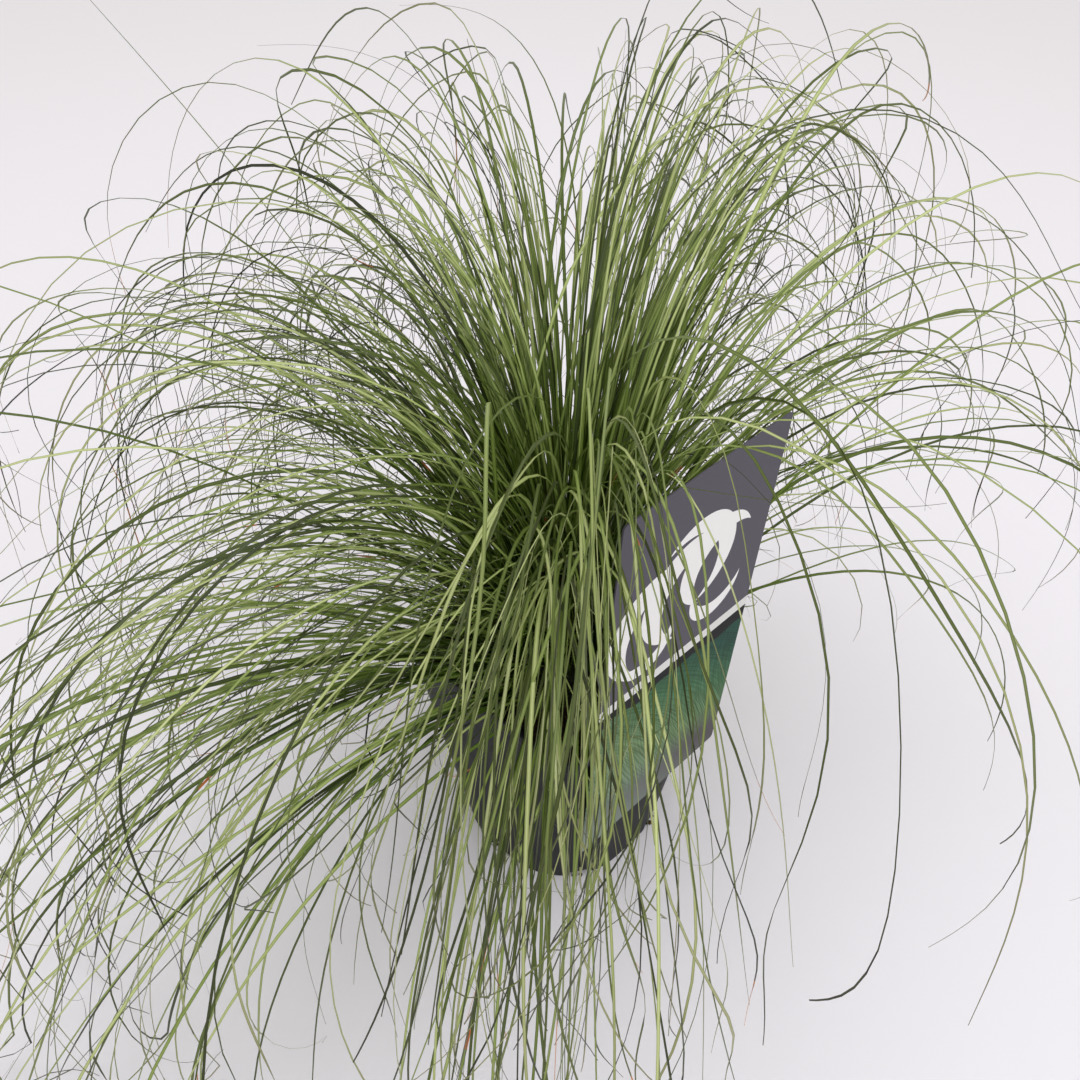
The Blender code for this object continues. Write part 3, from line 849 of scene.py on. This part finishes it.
def runs_into(points, card, pot):
    """Whether a blade would cut the card, the pot's rim or the pot's wall."""
    out = points @ np.array(CARD_OUT) - CARD_PLANE - CARD_SLOPE * points[:, 2]
    side = points @ np.array(CARD_SIDE) - CARD_SHIFT
    high = points[:, 2]
    beside = abs(side) < card.wide / 2 + CARD_CLEAR
    level = (high > CARD_LOW[2] - CARD_CLEAR) & (high < CARD_HIGH[2] + CARD_CLEAR)
    crosses = (out[:-1] * out[1:] <= 0) | (abs(out[:-1]) < CARD_CLEAR)
    if np.any(crosses & beside[:-1] & level[:-1]):
        return True
    reach = np.maximum(abs((points[:, 0] + points[:, 1]) * sqrt(0.5)),
                       abs((points[:, 1] - points[:, 0]) * sqrt(0.5)))
    inside, beyond, above = RIM_CLEAR
    rim = (high < pot.height + above) & (reach > pot.top / 2 - inside) & (reach < pot.top / 2 + beyond)
    wall = (high < pot.height) & (reach < pot.foot / 2 + CARD_SLOPE * high + WALL_CLEAR)
    return bool(np.any(rim) or np.any(wall[3:]))


def blade_frames(points, twist):
    """The sideways and upward direction at each point of a blade, turned by its twist."""
    along = np.gradient(points, axis=0)
    along /= np.linalg.norm(along, axis=1)[:, None]
    flat = along.copy()
    flat[:, 2] = 0
    flat += (points[-1] - points[0]) * np.array((1, 1, 0)) * 0.02
    side = np.stack((-flat[:, 1], flat[:, 0], np.zeros(len(flat))), axis=1)
    side -= along * np.sum(side * along, axis=1)[:, None]
    side /= np.linalg.norm(side, axis=1)[:, None]
    up = np.cross(along, side)
    angle = twist[:, None]
    return side * np.cos(angle) + up * np.sin(angle), up * np.cos(angle) - side * np.sin(angle)


def blade_width(share, width):
    """Half the width of a blade along its length, down to a thread-like tip."""
    grow = np.minimum(0.70 + share * 2.5, 1.0)
    fade = np.clip((share - 0.30) / 0.70, 0, 1)
    return width / 2 * grow * (1 - 0.62 * fade ** 1.2 - 0.12 * fade ** 8)


class SEDGE_OT_leaves(Operator):
    """Grow every lock of fine arching blades"""
    bl_idname = "sedge.leaves"
    bl_label = "Leaves"

    def execute(self, context):
        leaves = context.scene.sedge_leaves
        rnd = random.Random(leaves.seed)
        material = sedge_leaf(leaves)
        for name, blades, *shape in lock_list():
            tufts = [new_tuft(rnd, leaves) for _ in range(2 + blades // BLADES_A_TUFT)]
            paths = grow_paths(context.scene, blades,
                               lambda: lock_blade(rnd, leaves, rnd.choice(tufts), *shape))
            mesh = blades_mesh(name, paths, rnd, leaves)
            add_piece(name.replace("leaves", "blades"), mesh, material, [name])
        return {"FINISHED"}


class SEDGE_OT_strays(Operator):
    """Grow the loose blades that cross the locks, and the short ones inside the crown"""
    bl_idname = "sedge.strays"
    bl_label = "Loose leaves"

    def execute(self, context):
        scene, leaves = context.scene, context.scene.sedge_leaves
        rnd = random.Random(leaves.seed + 1)
        material = bpy.data.materials["sedge leaf"]
        rows = {name: grow_paths(scene, blades, lambda: loose_blade(rnd, leaves, *shape))
                for name, blades, *shape in STRAY_ROWS}
        rows["single"] = [single_blade(*shape) for shape in SINGLE_BLADES]
        if not all(is_clear(points, scene) for points in rows["single"]):
            raise RuntimeError("a single blade cuts the card or the pot, or leaves the plant's room")
        for name, paths in rows.items():
            mesh = blades_mesh(name, paths, rnd, leaves, plain=name == "single")
            add_piece("blades_" + name, mesh, material, [])
        return {"FINISHED"}


def is_clear(points, scene):
    """Whether a blade keeps clear of the card and the pot and stays in the plant's room."""
    low, high = (np.array(corner) for corner in CAD_BOX)
    spare = ((high - low) * ROOM_SHARE + ROOM_MORE) * ROOM
    inside = np.all(points >= low - spare) and np.all(points <= high + spare)
    return inside and not runs_into(points, scene.sedge_card, scene.sedge_pot)


def grow_paths(scene, count, grow):
    """Keep growing blades until enough of them are clear."""
    paths = []
    while len(paths) < count:
        points = grow()
        if is_clear(points, scene):
            paths.append(points)
    return paths


def sway_of(rnd, size):
    """Size, count and start of the waves up and down and from side to side."""
    return (rnd.gauss(0, size), rnd.uniform(0.5, 1.3), rnd.random(),
            rnd.gauss(0, size * 1.6), rnd.uniform(0.4, 1.2), rnd.random())


def tip_curl(rnd, leaves):
    """How far one tip curls sideways: most a little, one in four into a loop."""
    if rnd.random() < LOOPING_TIPS:
        return rnd.choice((-1, 1)) * rnd.uniform(1.2, 2.4) * leaves.curl
    return rnd.gauss(0, leaves.curl * 0.8)


def new_tuft(rnd, leaves):
    """How one tuft strays from its lock: in heading, lean, stiffness and swing."""
    return (rnd.gauss(0, leaves.scatter), rnd.gauss(0, leaves.scatter * 0.8),
            rnd.uniform(0.8, 1.2), rnd.gauss(0, 16))


def lock_blade(rnd, leaves, tuft, heading, lean, length, tip, stiffness, swing):
    """One blade of a tuft, with its own small strays in every value."""
    turn = heading + tuft[0] + rnd.gauss(0, leaves.scatter * TUFT_SPREAD)
    for middle, push, wide in PARTINGS:
        turn += copysign(push * exp(-((turn - middle) / wide) ** 2), turn - middle)
    tilt = max(lean + tuft[1] + rnd.gauss(0, leaves.scatter * TUFT_SPREAD), LEAST_LEAN)
    long = length * rnd.uniform(*(LONG_SHARE if rnd.random() < LONG_BLADES else SHORT_SHARE))
    root = root_point(turn + rnd.gauss(0, 20), tilt + rnd.gauss(0, 12),
                      DOME_RADIUS * rnd.uniform(0.5, 1.0))
    return blade_path(root, BLADE_STEPS, turn, tilt, long, tip + rnd.gauss(0, 9),
                      stiffness * tuft[2] * rnd.uniform(0.9, 1.1), swing + tuft[3] + rnd.gauss(0, 9),
                      tip_curl(rnd, leaves), rnd.gauss(0, 28), sway_of(rnd, 5))


def loose_blade(rnd, leaves, first, last, least, most, short, long, tip, stiffness, swing, *side):
    """One blade of a loose row, rooted anywhere in its side of the crown."""
    turn = rnd.uniform(first, last)
    root = root_point(rnd.uniform(*side), rnd.uniform(-20, 80), DOME_RADIUS * rnd.uniform(0.5, 0.95))
    return blade_path(root, SHORT_STEPS if long < SHORT_BLADE else BLADE_STEPS, turn,
                      rnd.uniform(least, most), rnd.uniform(short, long), tip + rnd.gauss(0, 8),
                      stiffness * rnd.uniform(0.75, 1.25), rnd.uniform(-swing, swing),
                      tip_curl(rnd, leaves), rnd.gauss(0, 28), sway_of(rnd, 7))


def single_blade(heading, lean, length, tip, stiffness, swing, curl):
    """One listed blade, rooted in the crown under its own heading."""
    root = root_point(heading, lean, DOME_RADIUS * 0.8)
    return blade_path(root, BLADE_STEPS, heading, lean, length, tip, stiffness, swing, curl, 0, (0,) * 6)


def bent_blade(path, shares, unit, step, width, twist):
    """The corners of a straight blade, moved along a path."""
    side, up = blade_frames(path, twist)
    half = blade_width(shares, width)[step]
    bent = path[step] + side[step] * (unit[:, :1] * half[:, None])
    bent += up[step] * (unit[:, 1:2] * half[:, None] * BLADE_THICK)
    return bent


def blades_mesh(name, paths, rnd, leaves, plain=False):
    """Join copies of a straight blade, each bent along its path, into one mesh.

    Each blade has its own strip of the UV map, and carries how far along and across it a
    point lies, its tone and its kind. Plain blades are all thin, neither bright nor dark.
    """
    steps = len(paths[0]) - 1
    unit, faces = blade_template(steps)
    step = np.rint(unit[:, 2]).astype(int)
    shares = step_shares(steps)
    share = shares[step]
    corner = {(round(x, 3), round(y, 3)): place for place, (x, y) in enumerate(BLADE_SECTION)}
    place = [corner[(round(x, 3), round(y, 3))] for x, y in unit[:, :2]]
    points, polygons, strips, tones, kinds = [], [], [], [], []
    for index, path in enumerate(paths):
        twist = rnd.gauss(0, 0.5) + rnd.gauss(0, 1.3) * shares ** 1.5
        long = np.linalg.norm(np.diff(path, axis=0), axis=1).sum()
        wide = rnd.uniform(0.55, 1.0) + 0.3 * rnd.random() ** 3
        width = leaves.width * (PLAIN_WIDTH if plain else wide) * min(0.55 + long, 1.0)
        points.append(bent_blade(path, shares, unit, step, width, twist))
        start = index * len(unit)
        for face in faces:
            polygons.append([start + vert for vert in face])
            wraps = {place[vert] for vert in face} == {0, 2}
            for vert in face:
                around = 3 if wraps and place[vert] == 0 else place[vert]
                strips.append(((index + 0.1 + 0.26 * around) / len(paths), 0.01 + 0.98 * share[vert]))
        # The tone sets how light or dark a blade is drawn: partly its own colour, partly painted light and
        # shade.
        tones.append(rnd.uniform(0.2, 0.6) if plain else rnd.random())
        kinds.append(rnd.random())
    mesh = bpy.data.meshes.new(name)
    mesh.from_pydata(np.concatenate(points).tolist(), [], polygons)
    layer = mesh.uv_layers.new(name="OFBake")
    layer.data.foreach_set("uv", np.array(strips, dtype=np.float32).ravel())
    values = {"along": np.tile(share, len(paths)), "across": np.tile(unit[:, 0], len(paths)),
              "tone": np.repeat(tones, len(unit)), "kind": np.repeat(kinds, len(unit))}
    for label, numbers in values.items():
        mesh.attributes.new(label, "FLOAT", "POINT").data.foreach_set("value", numbers.astype(np.float32))
    mesh.shade_smooth()
    mesh.set_sharp_from_angle(angle=radians(35))
    return mesh


def attribute(tree, name):
    """A value that the blades carry."""
    return add_node(tree, "Attribute", {"attribute_name": name}).outputs["Fac"]


def sedge_leaf(leaves):
    """A living sedge leaf: satin, green along and dull at the tip; painted shade darkens it low down, and
    its pale middle and its pale or dark blades are partly painted light.

    A few leaves have a rust spot or a dry tip.
    """
    material, tree, shader = new_material("sedge leaf", 0.42, 0.35)
    along, tone, kind = (attribute(tree, name) for name in ("along", "tone", "kind"))
    # Along the blade: the dark olive at the foot and the deep saturated green just above it are painted
    # shade of the crown's interior; then leaf green, pale in the middle, darker and greyer towards the tip.
    body = colour_ramp(tree, along, ((0.0, "3A3A14"), (0.07, "688A2A"), (0.28, leaves.green),
                                     (0.52, "D2D8A4"), (0.80, "A9AA80"), (1.0, "88806A")))
    # Each blade's lightness, from dark olive to white: partly each leaf's own tone, partly painted light,
    # with the pale blades standing for lit ones and the dark blades for shaded ones.
    shade = colour_ramp(tree, tone, ((0.0, "3E4620"), (0.3, "7C8A50"), (0.6, "B8C496"), (0.86, "F0F2E2"),
                                     (1.0, "FFFFFF")))
    # Paler down the middle and darker at the edges: partly the leaf's pale midrib, partly a painted
    # highlight along the fold and painted shade at the edges.
    aside = maths(tree, "ABSOLUTE", attribute(tree, "across"))
    midrib_and_painted_highlight = colour_ramp(tree, aside, ((0.0, "FFFFFF"), (0.40, "E2E8D0"), (1.0, "B4BCA2")))
    colour = multiply(tree, body, shade, midrib_and_painted_highlight)
    for least, place in ((0.40, 0.30), (0.60, 0.50), (0.75, 0.14)):
        spot = maths(tree, "MULTIPLY", mask(tree, along, place, place + 0.02),
                     mask(tree, kind, least, least + 0.01))
        colour = lay_over(tree, colour, "B0642E", spot)
    dry_tip = maths(tree, "MULTIPLY", mask(tree, along, 0.93, 2.0), mask(tree, kind, 0.93, 2.0))
    tree.links.new(lay_over(tree, colour, "B5702E", dry_tip), shader.inputs["Base Color"])
    return material


class SEDGE_OT_stage(Operator):
    """Set the pale floor, the soft light and the camera"""
    bl_idname = "sedge.stage"
    bl_label = "Stage"

    def execute(self, context):
        stage = context.scene.sedge_stage
        bm = bmesh.new()
        bmesh.ops.create_grid(bm, x_segments=1, y_segments=1, size=FLOOR_SIZE)
        floor = new_object("floor", plain_mesh(bm, "floor"))
        material, _, shader = new_material("pale paper", 0.7, 0.2)
        shader.inputs["Base Color"].default_value = linear(stage.floor)
        floor.data.materials.append(material)
        world = bpy.data.worlds.new("soft room")
        world.use_nodes = True
        around = world.node_tree.nodes["Background"]
        around.inputs["Color"].default_value = linear(ROOM_COLOUR)
        around.inputs["Strength"].default_value = ROOM_STRENGTH
        context.scene.world = world
        for name, place, size, power in LIGHTS:
            lamp = bpy.data.lights.new(name, "AREA")
            lamp.size = size
            lamp.energy = power
            lamp.color = linear(LIGHT_COLOUR)[:3]
            light = new_object(name, lamp)
            light.location = place
            light.rotation_euler = (LIGHT_AIM - Vector(place)).to_track_quat("-Z", "Y").to_euler()
        lens = bpy.data.cameras.new("camera")
        lens.lens = stage.lens
        lens.sensor_width = SENSOR
        camera = new_object("camera", lens)
        camera.location = stage.camera_at
        camera.rotation_euler = (radians(90 - stage.pitch), 0, 0)
        context.scene.camera = camera
        context.scene.view_settings.view_transform = "Standard"
        return {"FINISHED"}


class VIEW3D_PT_sedge(Panel):
    """Every step of the sedge, in order"""
    bl_label = "Potted sedge"
    bl_space_type = "VIEW_3D"
    bl_region_type = "UI"
    bl_category = "Sedge"

    def draw(self, context):
        for holder in GROUPS:
            group = getattr(context.scene, holder)
            box = self.layout.box()
            for prop in group.bl_rna.properties:
                if prop.identifier not in ("rna_type", "name"):
                    box.prop(group, prop.identifier)
        for step in STEPS:
            self.layout.operator(step.bl_idname)


GROUPS = {"sedge_pot": SedgePot, "sedge_card": SedgeCard, "sedge_leaves": SedgeLeaves,
          "sedge_stage": SedgeStage}
STEPS = (SEDGE_OT_stage, SEDGE_OT_pot, SEDGE_OT_compost, SEDGE_OT_card, SEDGE_OT_crown, SEDGE_OT_leaves,
         SEDGE_OT_strays)
CLASSES = tuple(GROUPS.values()) + STEPS + (VIEW3D_PT_sedge,)


def register():
    """Register the classes and hang the property groups on the scene."""
    for item in CLASSES:
        bpy.utils.register_class(item)
    for holder, group in GROUPS.items():
        setattr(bpy.types.Scene, holder, PointerProperty(type=group))


def unregister():
    """Take everything out again."""
    for holder in GROUPS:
        delattr(bpy.types.Scene, holder)
    for item in reversed(CLASSES):
        bpy.utils.unregister_class(item)


def main():
    """Build the whole object in order."""
    register()
    bpy.ops.sedge.stage()
    bpy.ops.sedge.pot()
    bpy.ops.sedge.compost()
    bpy.ops.sedge.card()
    bpy.ops.sedge.crown()
    bpy.ops.sedge.leaves()
    bpy.ops.sedge.strays()


if __name__ == "__main__":
    main()
